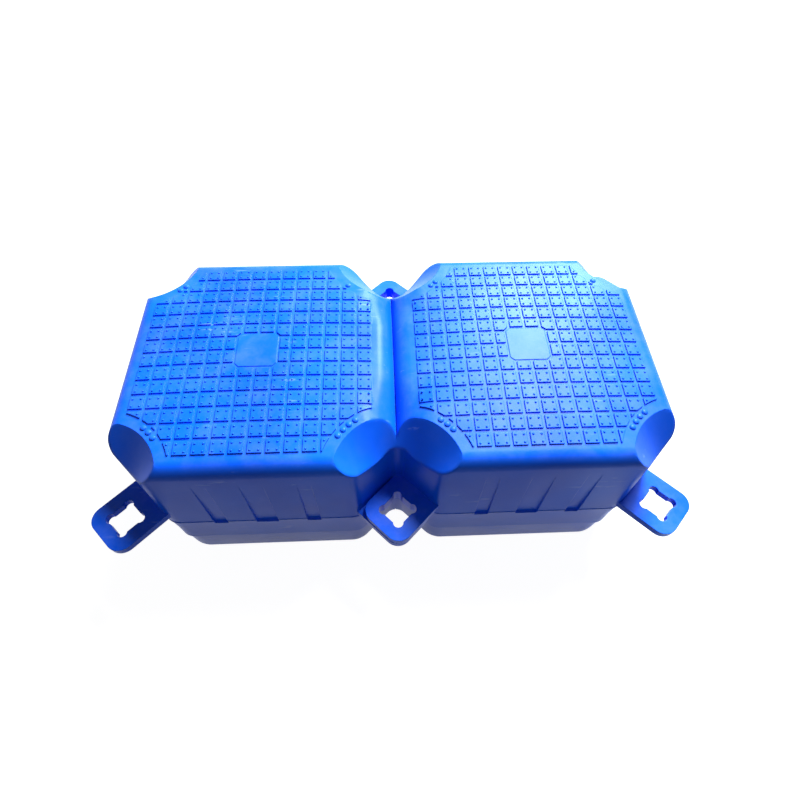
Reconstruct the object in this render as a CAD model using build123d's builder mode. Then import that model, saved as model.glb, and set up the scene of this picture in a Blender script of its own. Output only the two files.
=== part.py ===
from build123d import *
from math import copysign, cos, radians, sin, sqrt, tan
import os

os.makedirs("parts", exist_ok=True)

# Grid and overall size, in millimetres
module = 500.0  # pitch of the ear holes, and so of the cubes
height = 400.0  # underside to deck
parting_height = 200.0  # plane where the two halves of the mould meet
wall_clearance = 2.0  # wall to the module line, at the parting plane
upper_draft = 2.0  # degrees
lower_draft = 3.0  # degrees

# Corner chamfers, which make room for the ears
chamfer_distance = 53.0  # ear hole axis to the chamfer, at the parting plane
corner_round = 34.0  # upright edges at both ends of a chamfer, at the parting plane
foot_round = 54.0  # the same edges just below the waist band
notch_round = 20.0  # upright inner corner where the two cubes meet

# Edges of the deck and the underside
deck_round = 26.0
bottom_round = 45.0

# Grooves between the two cubes
deck_groove_half_width = 32.0
deck_groove_depth = 31.0
bottom_groove_half_width = 46.0
bottom_groove_depth = 42.0
groove_overrun = 10.0  # how far the cutter stands out of the surface

# Conical scoops over the ears
scoop_radius = 110.0  # at the deck, about the ear hole axis
scoop_slope = 45.0  # degrees below the deck
scoop_depth = 70.0
scoop_overrun = 10.0  # how far the cutter stands above the deck

# Upright channels in the upper half of each outer wall: centre and width
channel_places = ((-87.0, 24.0), (1.0, 40.0), (90.0, 24.0))
channel_depth = 5.4  # at the parting plane, where it is deepest
channel_tail = 8.0  # how far it runs on below the parting plane
channel_side_draft = 15.0  # degrees
channel_overrun = 6.0  # how far the cutter stands out of the wall

# Parting ridge, and the upright waist band, whose upper edge is flush with the drafted wall
ridge_height = 2.0
ridge_proud = 0.8
band_bottom = 113.0
band_top = 155.0

# Ears
ear_width = 102.0
ear_reach = 50.0  # hole axis to the tip
ear_root = 95.0  # hole axis to the end hidden in the body
ear_corner = 27.0
ear_thickness = 15.0
ear_lift = 9.0  # parting plane to the underside of the lowest ear
hole_side = 49.0
hole_lobe_radius = 9.5
hole_lobe_offset = 25.8  # hole axis to the middle of a lobe
ear_levels = {(-1, 1): 2, (1, 1): 1, (-1, -1): 3, (1, -1): 4}  # 1 is the highest
lowest_level = 4

# Tread of the deck
tiles_across = 14
tile_pitch = 30.2
tile_gap = 6.0
tile_height = 2.5
tread_land = 21.0  # scoop rim to the first tile
tile_sink = 1.0  # overlap of the tread and the deck
plate_side = 74.0
plate_corner_cut = 7.0
plate_height = 1.0
plate_margin = 4.0  # plate to the tiles round it

# Raised marks, as many at each corner as the level of the ear below
mark_diameter = 11.0
mark_height = 3.0
mark_pitch = 13.8
mark_land = 11.5  # scoop rim to the middle of a mark

half_module = module / 2
half_width = half_module - wall_clearance
cube_centres = (-half_module, half_module)
deck_middles = [(centre_x, 0) for centre_x in cube_centres]
diagonal = sqrt(2)


def hull_outline(level, edge_round, proud=0.0):
    """Plan of the two joined cubes at a level, with every side moved out by a small amount."""
    above = max(0.0, level - parting_height)
    below = max(0.0, parting_height - level)
    inset = above * tan(radians(upper_draft)) + below * tan(radians(lower_draft)) - proud
    side = half_width - inset
    cut = (chamfer_distance + inset) * diagonal
    corner_x = module + half_module - side - cut
    corner_y = module - side - cut
    notch_x = side + cut - half_module
    notch_y = half_module - cut
    end_x = half_module + side
    with BuildSketch(Plane.XY.offset(level)) as outline:
        with BuildLine():
            Polyline(
                (0, -notch_y),
                (notch_x, -side),
                (corner_x, -side),
                (end_x, -corner_y),
                (end_x, corner_y),
                (corner_x, side),
                (notch_x, side),
                (0, notch_y),
            )
            mirror(about=Plane.YZ)
        make_face()
        outer_corners = outline.vertices().filter_by(lambda corner: abs(corner.X) > wall_clearance)
        fillet(outer_corners, edge_round)
        notch_corners = outline.vertices().filter_by(lambda corner: abs(corner.X) < wall_clearance)
        fillet(notch_corners, notch_round)
    return outline.sketch.face()


def drafted_hull(level, rise, draft_angle, edge_round):
    """The hull from a level up, or down where the rise is negative, narrowing away from that level."""
    with BuildPart() as section:
        extrude(hull_outline(level, edge_round), amount=rise)
        walls = section.faces().filter_by(lambda face: abs(face.normal_at().Z) < 0.5)
        draft(walls, neutral_plane=Plane.XY.offset(level), angle=copysign(draft_angle, rise))
    return section.part


def groove_profile(plane, half_span, depth):
    """Valley between two round shoulders, on a plane whose Y points out of the surface."""
    with BuildSketch(plane) as profile:
        with BuildLine():
            TangentArc((-half_span, 0), (0, -depth), tangent=(1, 0))
            TangentArc((half_span, 0), (0, -depth), tangent=(-1, 0))
            Polyline((-half_span, 0), (-half_span, groove_overrun), (half_span, groove_overrun), (half_span, 0))
        make_face()
    return profile.sketch.face()


def wall_planes():
    """Each outer wall of each cube, as a plane at the parting line's reach with its Y up."""
    for centre_x in cube_centres:
        for side_y in (-1, 1):
            yield Plane((centre_x, side_y * half_width, 0), x_dir=(-side_y, 0, 0), z_dir=(0, side_y, 0))
        side_x = 1 if centre_x > 0 else -1
        end_x = centre_x + side_x * half_width
        yield Plane((end_x, 0, 0), x_dir=(0, side_x, 0), z_dir=(side_x, 0, 0))


def middle_plates(side, corner_cut):
    """A square with its corners cut off in the middle of each deck."""
    with BuildSketch(Plane.XY.offset(height - tile_sink)) as plates:
        with Locations(*deck_middles):
            Rectangle(side, side)
        chamfer(plates.vertices(), corner_cut)
    return plates.sketch


def ear_corners():
    """Every ear as its hole axis, its outward direction and its level."""
    for centre_x in cube_centres:
        for (side_x, side_y), level in ear_levels.items():
            axis = (centre_x + side_x * half_module, side_y * half_module)
            yield axis, (side_x, side_y), level


with BuildPart() as ears:
    # A tongue at each corner of each cube; between the cubes two lie on each other
    for axis, outward, level in ear_corners():
        underside = parting_height + ear_lift + (lowest_level - level) * ear_thickness
        with BuildSketch(Plane((*axis, underside), x_dir=(*outward, 0), z_dir=(0, 0, 1))) as tongue:
            with Locations(((ear_reach - ear_root) / 2, 0)):
                Rectangle(ear_reach + ear_root, ear_width)
            fillet(tongue.vertices().group_by(Axis.X)[-1], ear_corner)
            Rectangle(hole_side, hole_side, mode=Mode.SUBTRACT)
            with PolarLocations(hole_lobe_offset, 4, start_angle=45):
                Circle(hole_lobe_radius, mode=Mode.SUBTRACT)
        extrude(amount=ear_thickness)


with BuildPart() as tread:
    # A thin slab on each deck, cut back round the scoops
    field_side = tiles_across * tile_pitch - tile_gap
    with BuildSketch(Plane.XY.offset(height - tile_sink)):
        with Locations(*deck_middles):
            Rectangle(field_side, field_side)
        with Locations(*[axis for axis, outward, level in ear_corners()]):
            Circle(scoop_radius + tread_land, mode=Mode.SUBTRACT)
    extrude(amount=tile_sink + tile_height)

    # Gaps both ways, which leave square tiles
    with BuildSketch(Plane.XY.offset(height - tile_sink)):
        with Locations(*deck_middles):
            with GridLocations(tile_pitch, tile_pitch, tiles_across - 1, 1):
                Rectangle(tile_gap, field_side)
            with GridLocations(tile_pitch, tile_pitch, 1, tiles_across - 1):
                Rectangle(field_side, tile_gap)
    extrude(amount=tile_sink + tile_height, mode=Mode.SUBTRACT)

    # Blank plate in the middle, in an opening of the same shape
    opening = middle_plates(plate_side + 2 * plate_margin, plate_corner_cut + plate_margin / 2)
    extrude(opening, amount=tile_sink + tile_height, mode=Mode.SUBTRACT)
    extrude(middle_plates(plate_side, plate_corner_cut), amount=tile_sink + plate_height)


with BuildPart() as marks:
    # Studs on an arc between scoop and tread, one for each level that the ear below is down
    mark_circle = scoop_radius + mark_land
    mark_step = mark_pitch / mark_circle
    with BuildSketch(Plane.XY.offset(height)):
        for axis, outward, level in ear_corners():
            for number in range(level):
                turn = radians(45) + (number - (level - 1) / 2) * mark_step
                mark_x = axis[0] - outward[0] * mark_circle * cos(turn)
                mark_y = axis[1] - outward[1] * mark_circle * sin(turn)
                with Locations((mark_x, mark_y)):
                    Circle(mark_diameter / 2)
    extrude(amount=mark_height)


upper_half = drafted_hull(parting_height, height - parting_height, upper_draft, corner_round)
waist = drafted_hull(parting_height, band_top - parting_height, lower_draft, corner_round)
foot = drafted_hull(band_bottom, -band_bottom, lower_draft, foot_round)


with BuildPart() as double_float:
    # Two drafted halves that meet at the parting plane, the lower one with an upright band
    band_round = corner_round - (parting_height - band_top) * tan(radians(lower_draft))
    add(upper_half)
    add(waist)
    extrude(hull_outline(band_top, band_round), amount=band_bottom - band_top)
    add(foot)
    fillet(double_float.edges().group_by(Axis.Z)[0], bottom_round)
    fillet(double_float.edges().group_by(Axis.Z)[-1], deck_round)

    # Parting ridge
    ridge = hull_outline(parting_height - ridge_height / 2, corner_round, ridge_proud)
    extrude(ridge, amount=ridge_height)

    # Channels, whose upright floors run out into the drafted walls
    channel_rise = channel_depth / tan(radians(upper_draft)) + channel_overrun
    for wall in wall_planes():
        with BuildSketch(wall.offset(-channel_depth)):
            for place, width in channel_places:
                with Locations((place, parting_height + (channel_rise - channel_tail) / 2)):
                    Rectangle(width, channel_rise + channel_tail)
        extrude(amount=channel_depth + channel_overrun, taper=-channel_side_draft, mode=Mode.SUBTRACT)

    # Grooves between the cubes
    deck_groove_plane = Plane((0, 0, height), x_dir=(1, 0, 0), z_dir=(0, -1, 0))
    bottom_groove_plane = Plane((0, 0, 0), x_dir=(1, 0, 0), z_dir=(0, 1, 0))
    deck_groove = groove_profile(deck_groove_plane, deck_groove_half_width, deck_groove_depth)
    extrude(deck_groove, amount=half_module, both=True, mode=Mode.SUBTRACT)
    bottom_groove = groove_profile(bottom_groove_plane, bottom_groove_half_width, bottom_groove_depth)
    extrude(bottom_groove, amount=half_module, both=True, mode=Mode.SUBTRACT)

    # Scoops over the ears
    slope = tan(radians(scoop_slope))
    with Locations([(x, y, height - scoop_depth) for x in (-module, 0, module) for y in cube_centres]):
        Cone(
            scoop_radius - scoop_depth / slope,
            scoop_radius + scoop_overrun / slope,
            scoop_depth + scoop_overrun,
            align=(Align.CENTER, Align.CENTER, Align.MIN),
            mode=Mode.SUBTRACT,
        )

    add(ears.part)
    add(marks.part)
    add(tread.part, clean=False)

double_float.part.label = "double_float"
export_step(double_float.part, "parts/double_float.step")
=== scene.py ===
import math

import bmesh
import bpy
from mathutils import Matrix, Vector


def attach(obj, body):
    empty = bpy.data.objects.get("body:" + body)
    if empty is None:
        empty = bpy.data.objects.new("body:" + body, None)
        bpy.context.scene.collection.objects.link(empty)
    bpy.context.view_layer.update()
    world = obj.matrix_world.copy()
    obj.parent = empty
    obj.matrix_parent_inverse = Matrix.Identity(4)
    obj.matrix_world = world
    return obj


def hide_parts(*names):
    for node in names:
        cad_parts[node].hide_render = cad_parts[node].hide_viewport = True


MM = 0.001

# Layout of the float, the same values as the construction
MODULE = 500 * MM
DECK_LEVEL = 400 * MM
PARTING_LEVEL = 200 * MM
CUBE_MIDDLES = (-MODULE / 2, MODULE / 2)
TILES_ACROSS = 14
TILE_PITCH = 30.2 * MM
TILE_SIDE = 24.2 * MM
TILE_HEIGHT = 2.5 * MM
SCOOP_RADIUS = 110 * MM
TREAD_LAND = 21 * MM
PLATE_OPENING = 82 * MM
MARK_RADIUS = 5.5 * MM
MARK_HEIGHT = 3 * MM
MARK_PITCH = 13.8 * MM
MARK_LAND = 11.5 * MM
EAR_LEVELS = {(-1, 1): 2, (1, 1): 1, (-1, -1): 3, (1, -1): 4}  # 1 is the highest

# Swelling of the blown deck, highest in the middle of each cube
CROWN_RISE = 8.7 * MM
CROWN_REACH = 240 * MM
CROWN_START = 350 * MM

# Dip at both ends of the groove between the cubes
SADDLE_DIP = 14 * MM
SADDLE_REACH = 60 * MM
SADDLE_START = 60 * MM
SADDLE_FLOOR = 320 * MM
SADDLE_FADE = 20 * MM

# Softness of the edges: tight on walls and tread, wide on the rims of the scoops
EDGE_ROUND = 1.9 * MM
RIM_ROUND = 9 * MM
RIM_FADE = 5 * MM
SCOOP_START = 342 * MM
EDGE_SAMPLES = 6

# Pips on the tiles
PIP_RADIUS = 2.2 * MM
PIP_HEIGHT = 1.8 * MM
PIP_INSET = 5.0 * MM

# Colours of the plastic and of what lies on it
BLUE = (0.003, 0.115, 0.87, 1.0)
DEEP_BLUE = (0.002, 0.085, 0.74, 1.0)
SCUFF = (0.42, 0.58, 0.95, 1.0)
FLASH = (0.16, 0.3, 0.85, 1.0)
DUST = (0.55, 0.6, 0.7, 1.0)

# Finish of the plastic: gloss, roughness and what is added to it, skin, marks of use
GLOSS_LEVEL = 0.105
SATIN = 0.28
RUBBED_SATIN = 0.25
CLOUDY_SATIN = 0.12
SKIN_STRENGTH = 0.35
SKIN_DEPTH = 0.6 * MM
RUB_GRAIN = (0.25, 1.6, 1.0)  # rubs run along the longer side of the float
RUB_AMOUNT = 0.2
DUST_AMOUNT = 0.06
FLASH_AMOUNT = 0.75
EDGE_WEAR = 0.45

# The camera's lens in millimetres, its place and its three axes
CAMERA_LENS = 23.87
CAMERA_PLACE = (-0.02347, -0.60906, 1.18216)
CAMERA_RIGHT = (0.99909, -0.04021, 0.01398)
CAMERA_DOWN = (-0.02640, -0.84294, -0.53736)
CAMERA_FORWARD = (0.03339, 0.53651, -0.84323)

# Lamps: place, what each is turned to, side, power and colour
LAMPS = {
    "key": ((0.9, 1.1, 2.7), (0, 0, 0.3), 1.0, 120.0, (1.0, 1.0, 1.0)),
    "sky_on_right": ((1.2, 2.4, 2.5), (0.25, 0, 0.4), 1.2, 320.0, (0.72, 0.97, 1.0)),
}
AMBIENT = 0.12  # light from all round
FLOOR_REACH = 30.0
FLOOR_GREY = 0.26
FLOOR_LIFT = 0.96  # what the floor adds to its own look, for a white ground


# Nodes


def new_group(name, kind="ShaderNodeTree"):
    """An empty node group with its input and output nodes."""
    group = bpy.data.node_groups.new(name, kind)
    return group, group.nodes.new("NodeGroupInput"), group.nodes.new("NodeGroupOutput")


def add_input(group, name, kind="NodeSocketFloat", value=None):
    """A named input socket with its own value."""
    socket = group.interface.new_socket(name, in_out="INPUT", socket_type=kind)
    if value is not None:
        socket.default_value = value
    return socket


def add_output(group, name, kind="NodeSocketFloat"):
    """A named output socket."""
    return group.interface.new_socket(name, in_out="OUTPUT", socket_type=kind)


def plug(tree, source, target):
    """Links a socket, or sets a plain value."""
    if isinstance(source, bpy.types.NodeSocket):
        tree.links.new(source, target)
    else:
        target.default_value = source


def math_node(tree, operation, first, second=0.0, third=0.0):
    """One sum on two or three sockets or values."""
    node = tree.nodes.new("ShaderNodeMath")
    node.operation = operation
    for socket, source in zip(node.inputs, (first, second, third)):
        plug(tree, source, socket)
    return node.outputs[0]


def noise_node(tree, place, scale, detail=2.0, roughness=0.5):
    """Noise on a place in space, as a value from 0 to 1."""
    node = tree.nodes.new("ShaderNodeTexNoise")
    plug(tree, place, node.inputs["Vector"])
    plug(tree, scale, node.inputs["Scale"])
    node.inputs["Detail"].default_value = detail
    node.inputs["Roughness"].default_value = roughness
    return node.outputs["Fac"]


def ramp_node(tree, value, low, high):
    """0 below the low value, 1 above the high one, and smooth between them."""
    node = tree.nodes.new("ShaderNodeMapRange")
    node.interpolation_type = "SMOOTHSTEP"
    plug(tree, value, node.inputs["Value"])
    plug(tree, low, node.inputs["From Min"])
    plug(tree, high, node.inputs["From Max"])
    return node.outputs["Result"]


def mix_colour(tree, factor, first, second):
    """The first colour where the factor is 0, the second where it is 1."""
    node = tree.nodes.new("ShaderNodeMix")
    node.data_type = "RGBA"
    plug(tree, factor, node.inputs["Factor"])
    plug(tree, first, node.inputs[6])
    plug(tree, second, node.inputs[7])
    return node.outputs[2]


# Shader effects


def moulding_skin_group():
    """The slightly rippled, pebbled skin of blown plastic, as a height from 0 to 1."""
    group, inside, outside = new_group("moulding_skin")
    add_input(group, "Place", "NodeSocketVector")
    add_input(group, "Pebble scale", value=420.0)
    add_input(group, "Ripple scale", value=16.0)
    add_input(group, "Ripple share", value=0.6)
    add_output(group, "Height")
    pebble = noise_node(group, inside.outputs["Place"], inside.outputs["Pebble scale"], 2.0)
    ripple = noise_node(group, inside.outputs["Place"], inside.outputs["Ripple scale"], 1.0)
    height = group.nodes.new("ShaderNodeMix")
    plug(group, inside.outputs["Ripple share"], height.inputs["Factor"])
    plug(group, pebble, height.inputs[2])
    plug(group, ripple, height.inputs[3])
    plug(group, height.outputs[0], outside.inputs["Height"])
    return group


def scuffing_group():
    """Short light rubs that run along one direction, as a mask."""
    group, inside, outside = new_group("scuffing")
    add_input(group, "Place", "NodeSocketVector")
    add_input(group, "Stretch", "NodeSocketVector", (1.0, 1.0, 1.0))
    add_input(group, "Amount", value=0.5)
    add_output(group, "Mask")
    stretched = group.nodes.new("ShaderNodeVectorMath")
    stretched.operation = "MULTIPLY"
    plug(group, inside.outputs["Place"], stretched.inputs[0])
    plug(group, inside.outputs["Stretch"], stretched.inputs[1])
    streaks = noise_node(group, stretched.outputs[0], 60.0, 3.0, 0.6)
    patches = noise_node(group, inside.outputs["Place"], 9.0, 2.0)
    streak_mask = ramp_node(group, streaks, 0.62, 0.72)
    patch_mask = ramp_node(group, patches, 0.52, 0.68)
    both = math_node(group, "MULTIPLY", streak_mask, patch_mask)
    mask = math_node(group, "MULTIPLY", both, inside.outputs["Amount"])
    plug(group, mask, outside.inputs["Mask"])
    return group


def settled_dust_group():
    """Fine dust that lies on surfaces facing up, as a mask."""
    group, inside, outside = new_group("settled_dust")
    add_input(group, "Place", "NodeSocketVector")
    add_input(group, "Normal", "NodeSocketVector")
    add_input(group, "Amount", value=0.2)
    add_output(group, "Mask")
    split = group.nodes.new("ShaderNodeSeparateXYZ")
    plug(group, inside.outputs["Normal"], split.inputs[0])
    upward = ramp_node(group, split.outputs["Z"], 0.55, 0.95)
    clouds = noise_node(group, inside.outputs["Place"], 24.0, 4.0, 0.65)
    clouds = ramp_node(group, clouds, 0.35, 0.8)
    lying = math_node(group, "MULTIPLY", upward, clouds)
    mask = math_node(group, "MULTIPLY", lying, inside.outputs["Amount"])
    plug(group, mask, outside.inputs["Mask"])
    return group


def parting_flash_group():
    """The thin pale line that trimming leaves where the mould halves met, as a mask."""
    group, inside, outside = new_group("parting_flash")
    add_input(group, "Place", "NodeSocketVector")
    add_input(group, "Level", value=PARTING_LEVEL)
    add_input(group, "Half width", value=1.6 * MM)
    add_input(group, "Amount", value=0.5)
    add_output(group, "Mask")
    split = group.nodes.new("ShaderNodeSeparateXYZ")
    plug(group, inside.outputs["Place"], split.inputs[0])
    above = math_node(group, "SUBTRACT", split.outputs["Z"], inside.outputs["Level"])
    away = ramp_node(group, math_node(group, "ABSOLUTE", above), 0.0, inside.outputs["Half width"])
    near = math_node(group, "SUBTRACT", 1.0, away)
    breaks = noise_node(group, inside.outputs["Place"], 30.0, 4.0, 0.7)
    broken = ramp_node(group, breaks, 0.42, 0.62)
    line = math_node(group, "MULTIPLY", near, broken)
    mask = math_node(group, "MULTIPLY", line, inside.outputs["Amount"])
    plug(group, mask, outside.inputs["Mask"])
    return group


def place_group(tree, group, **values):
    """A shader group in a material, with its own values."""
    node = tree.nodes.new("ShaderNodeGroup")
    node.node_tree = group
    for name, value in values.items():
        plug(tree, value, node.inputs[name.replace("_", " ")])
    return node


def soft_edges(tree, on_scoops, on_tread):
    """Normals that turn smoothly over the edges."""
    wide = math_node(tree, "SUBTRACT", on_scoops, on_tread)
    edges = tree.nodes.new("ShaderNodeBevel")
    edges.samples = EDGE_SAMPLES
    radius = math_node(tree, "MULTIPLY_ADD", wide, RIM_ROUND - EDGE_ROUND, EDGE_ROUND)
    plug(tree, radius, edges.inputs["Radius"])
    return edges.outputs["Normal"]


def edge_wear(tree, place, soft_normal, true_normal, on_scoops):
    """Pale wear where the soft edges turn, below the scoops, as a mask."""
    turned = tree.nodes.new("ShaderNodeVectorMath")
    turned.operation = "DOT_PRODUCT"
    plug(tree, soft_normal, turned.inputs[0])
    plug(tree, true_normal, turned.inputs[1])
    turn = math_node(tree, "SUBTRACT", 1.0, turned.outputs["Value"])
    on_edges = ramp_node(tree, turn, 0.04, 0.2)
    patches = ramp_node(tree, noise_node(tree, place, 40.0, 4.0, 0.7), 0.48, 0.66)
    worn = math_node(tree, "MULTIPLY", on_edges, patches)
    off_scoops = math_node(tree, "MULTIPLY", on_scoops, EDGE_WEAR)
    below = math_node(tree, "SUBTRACT", EDGE_WEAR, off_scoops)
    return math_node(tree, "MULTIPLY", worn, below)


def blown_plastic(skin, scuffing, dust, flash):
    """Satin blue polyethylene, blown in a mould and lightly used."""
    material = bpy.data.materials.new("blown_plastic")
    material.use_nodes = True
    tree = material.node_tree
    shader = tree.nodes["Principled BSDF"]
    shader.inputs["IOR"].default_value = 1.5
    shader.inputs["Specular IOR Level"].default_value = GLOSS_LEVEL
    place = tree.nodes.new("ShaderNodeTexCoord").outputs["Object"]
    split = tree.nodes.new("ShaderNodeSeparateXYZ")
    plug(tree, place, split.inputs[0])
    level = split.outputs["Z"]
    true_normal = tree.nodes.new("ShaderNodeNewGeometry").outputs["Normal"]
    on_scoops = ramp_node(tree, level, SCOOP_START, SCOOP_START + RIM_FADE)
    on_tread = ramp_node(tree, level, DECK_LEVEL - 1.5 * MM, DECK_LEVEL - 0.5 * MM)
    soft_normal = soft_edges(tree, on_scoops, on_tread)

    surface = place_group(tree, skin, Place=place)
    bump = tree.nodes.new("ShaderNodeBump")
    bump.inputs["Strength"].default_value = SKIN_STRENGTH
    bump.inputs["Distance"].default_value = SKIN_DEPTH
    plug(tree, surface.outputs["Height"], bump.inputs["Height"])
    plug(tree, soft_normal, bump.inputs["Normal"])
    plug(tree, bump.outputs["Normal"], shader.inputs["Normal"])

    # Colour: the plastic, with flash, worn edges, rubs and dust over each other
    tone = ramp_node(tree, noise_node(tree, place, 5.0, 2.0), 0.3, 0.7)
    trimmed = place_group(tree, flash, Place=place, Amount=FLASH_AMOUNT)
    rubs = place_group(tree, scuffing, Place=place, Stretch=RUB_GRAIN, Amount=RUB_AMOUNT)
    dusty = place_group(tree, dust, Place=place, Normal=true_normal, Amount=DUST_AMOUNT)
    worn_edges = edge_wear(tree, place, soft_normal, true_normal, on_scoops)
    colour = mix_colour(tree, tone, DEEP_BLUE, BLUE)
    colour = mix_colour(tree, trimmed.outputs["Mask"], colour, FLASH)
    colour = mix_colour(tree, worn_edges, colour, FLASH)
    colour = mix_colour(tree, rubs.outputs["Mask"], colour, SCUFF)
    colour = mix_colour(tree, dusty.outputs["Mask"], colour, DUST)
    plug(tree, colour, shader.inputs["Base Color"])

    satin = math_node(tree, "MULTIPLY_ADD", rubs.outputs["Mask"], RUBBED_SATIN, SATIN)
    cloudy = noise_node(tree, place, 11.0, 3.0)
    satin = math_node(tree, "MULTIPLY_ADD", cloudy, CLOUDY_SATIN, satin)
    plug(tree, satin, shader.inputs["Roughness"])
    return material


# Shape of the dressed hull


def smooth(share):
    """0 to 1 with a soft start and a soft end."""
    share = min(max(share, 0.0), 1.0)
    return share * share * (3 - 2 * share)


def crown_at(x, y):
    """How far the blown deck stands above its plane."""
    middle = min(CUBE_MIDDLES, key=lambda centre: abs(x - centre))
    across = min(abs(x - middle) / CROWN_REACH, 1.0)
    along = min(abs(y) / CROWN_REACH, 1.0)
    return CROWN_RISE * (1 - across**2) * (1 - along**2)


def grid_lines(middle):
    """Lines through the gaps of the tread, and on past it to the edge of the cube."""
    reach = TILES_ACROSS // 2 + 1
    return [middle + step * TILE_PITCH for step in range(-reach, reach + 1)]


def saddle_at(x, y):
    """How far the ends of the groove between the cubes lie below its middle."""
    near = max(0.0, 1 - (x / SADDLE_REACH) ** 2)
    out = (abs(y) - SADDLE_START) / (MODULE / 2 - SCOOP_RADIUS - SADDLE_START)
    return SADDLE_DIP * near * near * smooth(out)


def cut_deck(body):
    """Cuts the deck along the grid of its tread, so that it can swell smoothly."""
    across, along = Vector((1, 0, 0)), Vector((0, 1, 0))
    cuts = [(across * x, across) for middle in CUBE_MIDDLES for x in grid_lines(middle)]
    cuts += [(along * y, along) for y in grid_lines(0)]
    for point, direction in cuts:
        faces = [face for face in body.faces if max(vert.co.z for vert in face.verts) > CROWN_START]
        edges = list({edge for face in faces for edge in face.edges})
        verts = list({vert for face in faces for vert in face.verts})
        bmesh.ops.bisect_plane(
            body, geom=faces + edges + verts, plane_co=point, plane_no=direction, dist=0.001 * MM
        )


def crowned_hull(node, material):
    """The hull with its deck swollen as blowing leaves it, made from a copy of the node's mesh."""
    mesh = node.data.copy()
    mesh.name = "hull_shell"
    if "custom_normal" in mesh.attributes:
        mesh.attributes.remove(mesh.attributes["custom_normal"])
    body = bmesh.new()
    body.from_mesh(mesh)
    bmesh.ops.remove_doubles(body, verts=body.verts, dist=0.01 * MM)
    cut_deck(body)
    stud_level = DECK_LEVEL + TILE_HEIGHT + 0.1 * MM
    for vert in body.verts:
        # The flat studs sink into the domes that stand in their places
        if vert.co.z > stud_level:
            vert.co.z = DECK_LEVEL + MARK_HEIGHT / 4
        share = smooth((vert.co.z - CROWN_START) / (DECK_LEVEL - CROWN_START))
        vert.co.z += crown_at(vert.co.x, vert.co.y) * share
        if vert.co.z > SADDLE_FLOOR:
            share = min((vert.co.z - SADDLE_FLOOR) / SADDLE_FADE, 1.0)
            vert.co.z -= saddle_at(vert.co.x, vert.co.y) * share
    bmesh.ops.triangulate(body, faces=body.faces)
    body.to_mesh(mesh)
    body.free()
    hull = bpy.data.objects.new("hull_shell", mesh)
    bpy.context.scene.collection.objects.link(hull)
    mesh.materials.clear()
    mesh.materials.append(material)
    mesh.shade_smooth()
    mesh.set_sharp_from_angle(angle=math.radians(28))
    return hull


def ear_corners():
    """Each ear's hole axis, with its inward direction and its level."""
    for middle in CUBE_MIDDLES:
        for (side_x, side_y), level in EAR_LEVELS.items():
            axis = Vector((middle + side_x * MODULE / 2, side_y * MODULE / 2, 0))
            yield axis, Vector((-side_x, -side_y, 0)), level


def level_marks(material):
    """Small domes on an arc between scoop and tread, as many as the level of the ear below."""
    domes = bmesh.new()
    radius = SCOOP_RADIUS + MARK_LAND
    for axis, inward, level in ear_corners():
        for number in range(level):
            turn = math.radians(45) + (number - (level - 1) / 2) * MARK_PITCH / radius
            x = axis.x + inward.x * radius * math.cos(turn)
            y = axis.y + inward.y * radius * math.sin(turn)
            place = Matrix.Translation((x, y, DECK_LEVEL + crown_at(x, y)))
            flat = Matrix.Diagonal((MARK_RADIUS, MARK_RADIUS, MARK_HEIGHT, 1))
            bmesh.ops.create_uvsphere(
                domes, u_segments=20, v_segments=10, radius=1.0, matrix=place @ flat
            )
    mesh = bpy.data.meshes.new("level_marks")
    domes.to_mesh(mesh)
    domes.free()
    mesh.shade_smooth()
    mesh.materials.append(material)
    marks = bpy.data.objects.new("level_marks", mesh)
    bpy.context.scene.collection.objects.link(marks)
    return marks


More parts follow.
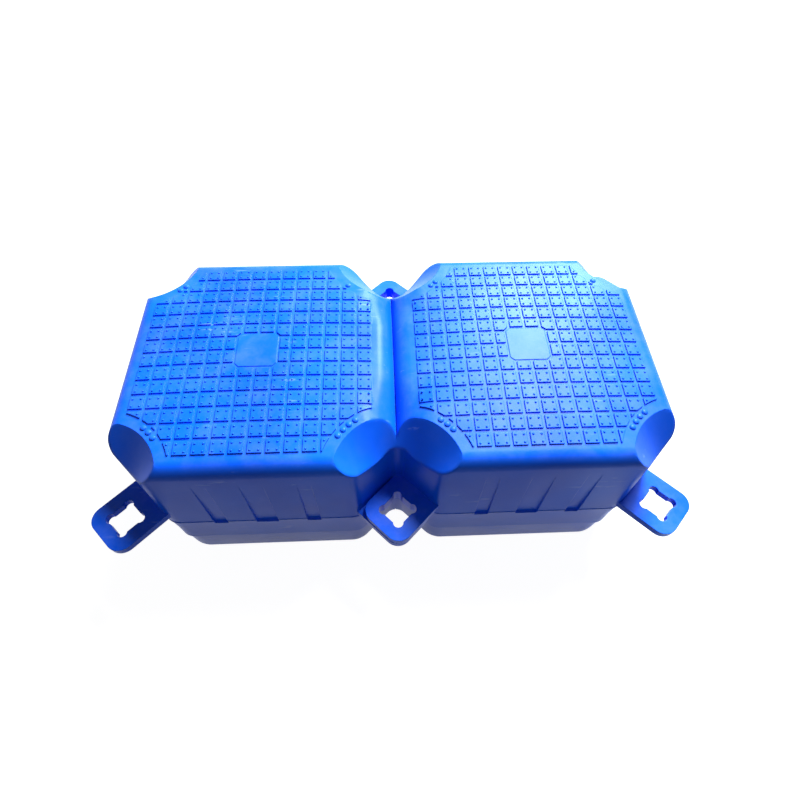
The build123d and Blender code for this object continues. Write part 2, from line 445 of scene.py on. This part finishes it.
def pip_tree():
    """Geometry nodes that set four pips on each whole tile of both decks."""
    tree, inside, outside = new_group("tile_pips", "GeometryNodeTree")
    add_output(tree, "Geometry", "NodeSocketGeometry")
    add_input(tree, "Tiles across", "NodeSocketInt", TILES_ACROSS)
    add_input(tree, "Tile pitch", value=TILE_PITCH)
    add_input(tree, "Pip spacing", value=TILE_SIDE - 2 * PIP_INSET)
    add_input(tree, "Pip radius", value=PIP_RADIUS)
    add_input(tree, "Pip height", value=PIP_HEIGHT)
    add_input(tree, "Clear of scoop axis", value=SCOOP_RADIUS + TREAD_LAND + 2 * PIP_RADIUS)
    add_input(tree, "Clear of middle", value=PLATE_OPENING / 2 + PIP_RADIUS)
    add_input(tree, "Tile top", value=DECK_LEVEL + TILE_HEIGHT)
    add_input(tree, "Crown rise", value=CROWN_RISE)
    add_input(tree, "Crown reach", value=CROWN_REACH)
    add_input(tree, "Half module", value=MODULE / 2)
    add_input(tree, "Plastic", "NodeSocketMaterial")
    given = inside.outputs

    tiles = tree.nodes.new("GeometryNodeMeshGrid")
    steps = math_node(tree, "SUBTRACT", given["Tiles across"], 1.0)
    field = math_node(tree, "MULTIPLY", steps, given["Tile pitch"])
    cluster = tree.nodes.new("GeometryNodeMeshGrid")
    grids = ((tiles, field, given["Tiles across"]), (cluster, given["Pip spacing"], 2))
    for grid, size, count in grids:
        plug(tree, size, grid.inputs["Size X"])
        plug(tree, size, grid.inputs["Size Y"])
        plug(tree, count, grid.inputs["Vertices X"])
        plug(tree, count, grid.inputs["Vertices Y"])
    four_each = tree.nodes.new("GeometryNodeInstanceOnPoints")
    plug(tree, tiles.outputs["Mesh"], four_each.inputs["Points"])
    plug(tree, cluster.outputs["Mesh"], four_each.inputs["Instance"])
    spots = tree.nodes.new("GeometryNodeRealizeInstances")
    plug(tree, four_each.outputs["Instances"], spots.inputs["Geometry"])

    # Left out over the middle plate and round the four scoops
    place = tree.nodes.new("ShaderNodeSeparateXYZ")
    plug(tree, tree.nodes.new("GeometryNodeInputPosition").outputs["Position"], place.inputs[0])
    off = [math_node(tree, "ABSOLUTE", place.outputs[axis]) for axis in "XY"]
    farther = math_node(tree, "MAXIMUM", *off)
    in_middle = math_node(tree, "LESS_THAN", farther, given["Clear of middle"])
    to_axis = [math_node(tree, "SUBTRACT", given["Half module"], part) for part in off]
    squares = [math_node(tree, "MULTIPLY", part, part) for part in to_axis]
    distance = math_node(tree, "SQRT", math_node(tree, "ADD", *squares))
    by_scoop = math_node(tree, "LESS_THAN", distance, given["Clear of scoop axis"])
    thinned = tree.nodes.new("GeometryNodeDeleteGeometry")
    thinned.domain = "POINT"
    plug(tree, spots.outputs["Geometry"], thinned.inputs["Geometry"])
    plug(tree, math_node(tree, "MAXIMUM", in_middle, by_scoop), thinned.inputs["Selection"])

    # Raised with the crown of the deck
    shares = [math_node(tree, "DIVIDE", part, given["Crown reach"]) for part in off]
    squared = [math_node(tree, "MULTIPLY", share, share) for share in shares]
    left = [math_node(tree, "SUBTRACT", 1.0, part) for part in squared]
    crown = math_node(tree, "MULTIPLY", math_node(tree, "MULTIPLY", *left), given["Crown rise"])
    lift = tree.nodes.new("ShaderNodeCombineXYZ")
    plug(tree, math_node(tree, "ADD", crown, given["Tile top"]), lift.inputs["Z"])
    raised = tree.nodes.new("GeometryNodeSetPosition")
    plug(tree, thinned.outputs["Geometry"], raised.inputs["Geometry"])
    plug(tree, lift.outputs["Vector"], raised.inputs["Offset"])

    dome = tree.nodes.new("GeometryNodeMeshUVSphere")
    dome.inputs["Segments"].default_value = 8
    dome.inputs["Rings"].default_value = 4
    plug(tree, given["Pip radius"], dome.inputs["Radius"])
    flatten = tree.nodes.new("ShaderNodeCombineXYZ")
    flatten.inputs["X"].default_value = 1.0
    flatten.inputs["Y"].default_value = 1.0
    squash = math_node(tree, "DIVIDE", given["Pip height"], given["Pip radius"])
    plug(tree, squash, flatten.inputs["Z"])
    pips = tree.nodes.new("GeometryNodeInstanceOnPoints")
    plug(tree, raised.outputs["Geometry"], pips.inputs["Points"])
    plug(tree, dome.outputs["Mesh"], pips.inputs["Instance"])
    plug(tree, flatten.outputs["Vector"], pips.inputs["Scale"])

    both_decks = tree.nodes.new("GeometryNodeJoinGeometry")
    for side in (-1.0, 1.0):
        shift = tree.nodes.new("ShaderNodeCombineXYZ")
        plug(tree, math_node(tree, "MULTIPLY", given["Half module"], side), shift.inputs["X"])
        moved = tree.nodes.new("GeometryNodeTransform")
        plug(tree, pips.outputs["Instances"], moved.inputs["Geometry"])
        plug(tree, shift.outputs["Vector"], moved.inputs["Translation"])
        tree.links.new(moved.outputs["Geometry"], both_decks.inputs["Geometry"])
    real = tree.nodes.new("GeometryNodeRealizeInstances")
    plug(tree, both_decks.outputs["Geometry"], real.inputs["Geometry"])
    shaded = tree.nodes.new("GeometryNodeSetShadeSmooth")
    plug(tree, real.outputs["Geometry"], shaded.inputs["Geometry"])
    coloured = tree.nodes.new("GeometryNodeSetMaterial")
    plug(tree, shaded.outputs["Geometry"], coloured.inputs["Geometry"])
    plug(tree, given["Plastic"], coloured.inputs["Material"])
    plug(tree, coloured.outputs["Geometry"], outside.inputs["Geometry"])
    return tree


def tile_pips(material):
    """The pips of both decks as one plain mesh."""
    tree = pip_tree()
    maker = bpy.data.objects.new("pip_maker", bpy.data.meshes.new("pip_maker"))
    bpy.context.scene.collection.objects.link(maker)
    modifier = maker.modifiers.new("tile_pips", "NODES")
    modifier.node_group = tree
    inputs = [item for item in tree.interface.items_tree if item.in_out == "INPUT"]
    sockets = {item.name: item.identifier for item in inputs}
    modifier[sockets["Plastic"]] = material
    seen = maker.evaluated_get(bpy.context.evaluated_depsgraph_get())
    mesh = bpy.data.meshes.new_from_object(seen)
    mesh.name = "tile_pips"
    bpy.data.objects.remove(maker)
    pips = bpy.data.objects.new("tile_pips", mesh)
    bpy.context.scene.collection.objects.link(pips)
    return pips


# Studio


def photo_camera():
    """The camera at the photograph's place and angle."""
    camera = bpy.data.cameras.new("camera")
    camera.sensor_width = 36.0
    camera.lens = CAMERA_LENS
    camera.clip_start = 0.05
    holder = bpy.data.objects.new("camera", camera)
    axes = Matrix((Vector(CAMERA_RIGHT), -Vector(CAMERA_DOWN), -Vector(CAMERA_FORWARD)))
    holder.matrix_world = Matrix.Translation(CAMERA_PLACE) @ axes.transposed().to_4x4()
    bpy.context.scene.collection.objects.link(holder)
    bpy.context.scene.camera = holder


def soft_light(name, place, aim, size, power, colour):
    """A square lamp at a place, turned to what it lights."""
    lamp = bpy.data.lights.new(name, "AREA")
    lamp.shape = "SQUARE"
    lamp.size = size
    lamp.energy = power
    lamp.color = colour
    holder = bpy.data.objects.new(name, lamp)
    holder.location = place
    holder.rotation_euler = (Vector(aim) - Vector(place)).to_track_quat("-Z", "Y").to_euler()
    bpy.context.scene.collection.objects.link(holder)


def seen_directly(tree):
    """1 for a ray from the camera, off gloss or through glass, else 0."""
    rays = tree.nodes.new("ShaderNodeLightPath")
    camera, glass = rays.outputs["Is Camera Ray"], rays.outputs["Is Transmission Ray"]
    clear = math_node(tree, "MAXIMUM", camera, glass)
    return math_node(tree, "MAXIMUM", clear, rays.outputs["Is Glossy Ray"])


def white_surroundings():
    """A world that looks white and gives the float a plain level of light."""
    world = bpy.data.worlds.new("studio")
    bpy.context.scene.world = world
    world.use_nodes = True
    tree = world.node_tree
    background = tree.nodes["Background"]
    background.inputs["Color"].default_value = (1.0, 1.0, 1.0, 1.0)
    strength = math_node(tree, "MULTIPLY_ADD", seen_directly(tree), 1.0 - AMBIENT, AMBIENT)
    plug(tree, strength, background.inputs["Strength"])


def pale_floor():
    """A wide floor that looks white and keeps the float's shadow."""
    mesh = bpy.data.meshes.new("floor")
    signs = ((-1, -1), (1, -1), (1, 1), (-1, 1))
    mesh.from_pydata([(FLOOR_REACH * x, FLOOR_REACH * y, 0) for x, y in signs], [], [(0, 1, 2, 3)])
    floor = bpy.data.objects.new("floor", mesh)
    bpy.context.scene.collection.objects.link(floor)
    material = bpy.data.materials.new("floor")
    material.use_nodes = True
    tree = material.node_tree
    shader = tree.nodes["Principled BSDF"]
    shader.inputs["Base Color"].default_value = (FLOOR_GREY, FLOOR_GREY, FLOOR_GREY, 1.0)
    shader.inputs["Roughness"].default_value = 1.0
    shader.inputs["Specular IOR Level"].default_value = 0.0
    shader.inputs["Emission Color"].default_value = (1.0, 1.0, 1.0, 1.0)
    lift = math_node(tree, "MULTIPLY", seen_directly(tree), FLOOR_LIFT)
    plug(tree, lift, shader.inputs["Emission Strength"])
    mesh.materials.append(material)


# Build

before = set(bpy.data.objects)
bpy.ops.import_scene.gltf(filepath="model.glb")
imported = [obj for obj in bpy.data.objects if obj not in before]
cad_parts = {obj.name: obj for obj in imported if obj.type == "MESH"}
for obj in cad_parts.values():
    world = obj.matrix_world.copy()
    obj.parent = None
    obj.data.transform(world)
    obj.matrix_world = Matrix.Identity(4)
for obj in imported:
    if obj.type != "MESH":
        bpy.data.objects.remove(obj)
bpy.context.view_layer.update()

plastic = blown_plastic(
    moulding_skin_group(), scuffing_group(), settled_dust_group(), parting_flash_group()
)
hull = crowned_hull(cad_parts["double_float"], plastic)
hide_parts("double_float")
for piece in (hull, level_marks(plastic), tile_pips(plastic)):
    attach(piece, "root")

bpy.context.scene.view_settings.view_transform = "Standard"
photo_camera()
pale_floor()
white_surroundings()
for name, settings in LAMPS.items():
    soft_light(name, *settings)
